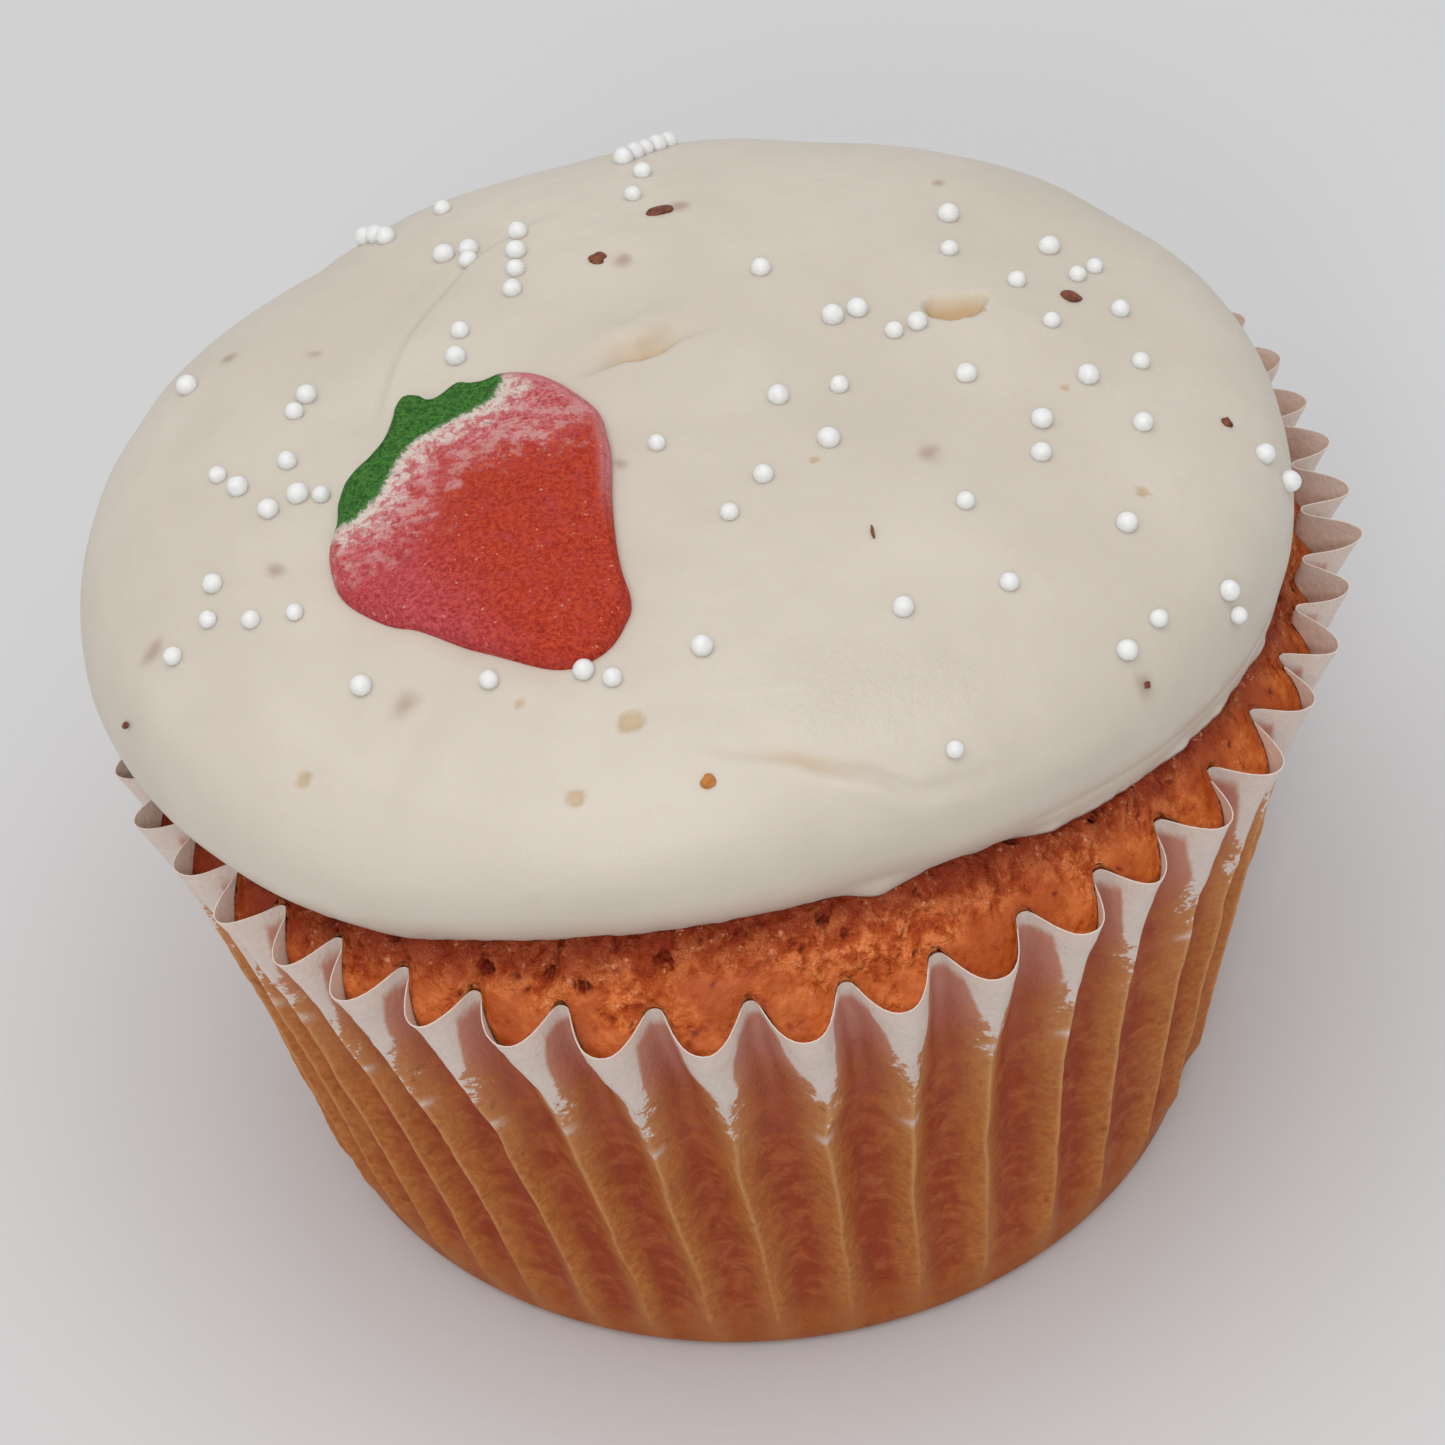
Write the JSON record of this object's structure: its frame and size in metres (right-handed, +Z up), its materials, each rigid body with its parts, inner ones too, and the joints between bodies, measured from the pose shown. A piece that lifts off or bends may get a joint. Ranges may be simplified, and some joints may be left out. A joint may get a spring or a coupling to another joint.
{
  "type": "cupcake",
  "caption": "Frosted cupcake in a fluted paper case, with a flat sugar strawberry lying on a smooth cap of buttercream.",
  "frame": {"origin": "middle of the paper case's flat base, on the surface it stands on", "axes": "+Z up; -Y is the front, where the frosting leaves most of the cake bare; +X is the right seen from the front"},
  "size_m": [0.0704, 0.0698, 0.0532],
  "materials": {
    "greaseproof_paper": "thin, translucent where it clings to the cake",
    "sponge": "moist, fine open pores",
    "buttercream": "smooth satin",
    "pressed_sugar": "grainy, slightly sparkling",
    "sugar_balls": "hard, smooth, satin",
    "fruit_specks": "moist"
  },
  "bodies": {
    "root": {"paper_case": "greaseproof_paper", "cake": "sponge", "frosting": "buttercream", "sugar_strawberry": "pressed_sugar"}
  },
  "joints": []
}
